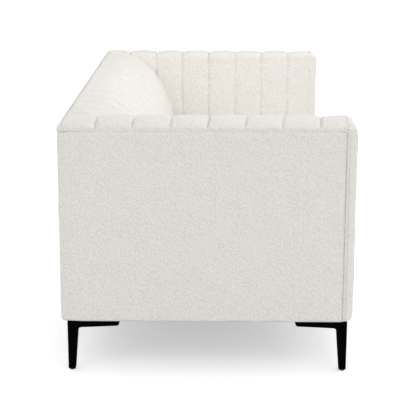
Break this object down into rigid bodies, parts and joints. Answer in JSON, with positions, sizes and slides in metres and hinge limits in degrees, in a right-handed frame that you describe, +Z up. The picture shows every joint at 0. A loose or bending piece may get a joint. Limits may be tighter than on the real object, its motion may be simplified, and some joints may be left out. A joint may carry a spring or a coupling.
{
  "type": "tuxedo sofa",
  "caption": "Upholstered tuxedo sofa with level arms and back, channelled inside pads, a loose bench cushion and black L-shaped corner legs.",
  "frame": {"origin": "on the floor, under the middle of the sofa", "axes": "+X along the sofa, to the right for someone who stands in front of it; +Y towards the outside back; +Z up"},
  "size_m": [1.8, 0.88, 0.77],
  "materials": {
    "cover_fabric": "looped white boucle, matt",
    "deck_cloth": "black non-woven cloth",
    "cushion_foam": "open-cell foam",
    "zip_tape": "woven tape with moulded teeth",
    "frame_wood": "planed hardwood, unfinished",
    "plywood": "sawn plywood",
    "hardboard": "smooth hardboard",
    "leg_metal": "satin black powder coat",
    "glide_plastic": "matt nylon",
    "spring_steel": "plain spring wire",
    "screw_steel": "zinc plated"
  },
  "bodies": {
    "sofa": {"front_rail": "frame_wood", "rear_rail": "frame_wood", "spring_rail": "frame_wood", "side_rail_left": "frame_wood", "side_rail_right": "frame_wood", "centre_bearer": "frame_wood", "corner_blocks": "frame_wood", "arm_front_post_left": "frame_wood", "arm_front_post_right": "frame_wood", "arm_rear_post_left": "frame_wood", "arm_rear_post_right": "frame_wood", "arm_top_rail_left": "frame_wood", "arm_top_rail_right": "frame_wood", "back_top_rail": "frame_wood", "back_ribs": "plywood", "back_board": "hardboard", "inner_arm_board_left": "hardboard", "inner_arm_board_right": "hardboard", "outer_arm_board_left": "hardboard", "outer_arm_board_right": "hardboard", "outer_back_board": "hardboard", "seat_springs": "spring_steel", "spring_clips": "spring_steel", "seat_deck": "deck_cloth", "arm_pad_left": "cover_fabric", "arm_pad_right": "cover_fabric", "arm_front_pad_left": "cover_fabric", "arm_front_pad_right": "cover_fabric", "back_pad": "cover_fabric", "seat_front_pad": "cover_fabric", "outside_arm_panel_left": "cover_fabric", "outside_arm_panel_right": "cover_fabric", "outside_back_panel": "cover_fabric", "dust_cover": "deck_cloth", "leg_front_left": "leg_metal", "leg_front_right": "leg_metal", "leg_rear_left": "leg_metal", "leg_rear_right": "leg_metal", "centre_leg": "leg_metal", "foot_glides": "glide_plastic", "leg_screws": "screw_steel"},
    "seat_cushion": {"cushion_cover": "cover_fabric", "cushion_core": "cushion_foam", "cushion_zip": "zip_tape"},
    "zip_slider": {"zip_slider": "screw_steel"}
  },
  "joints": [
    {"name": "cushion_lift", "type": "slide", "parent": "sofa", "child": "seat_cushion", "axis": [0, 0, 1], "range_m": [0, 0.35]},
    {"name": "zip_slide", "type": "slide", "parent": "seat_cushion", "child": "zip_slider", "axis": [1, 0, 0], "range_m": [0, 1.24]}
  ]
}
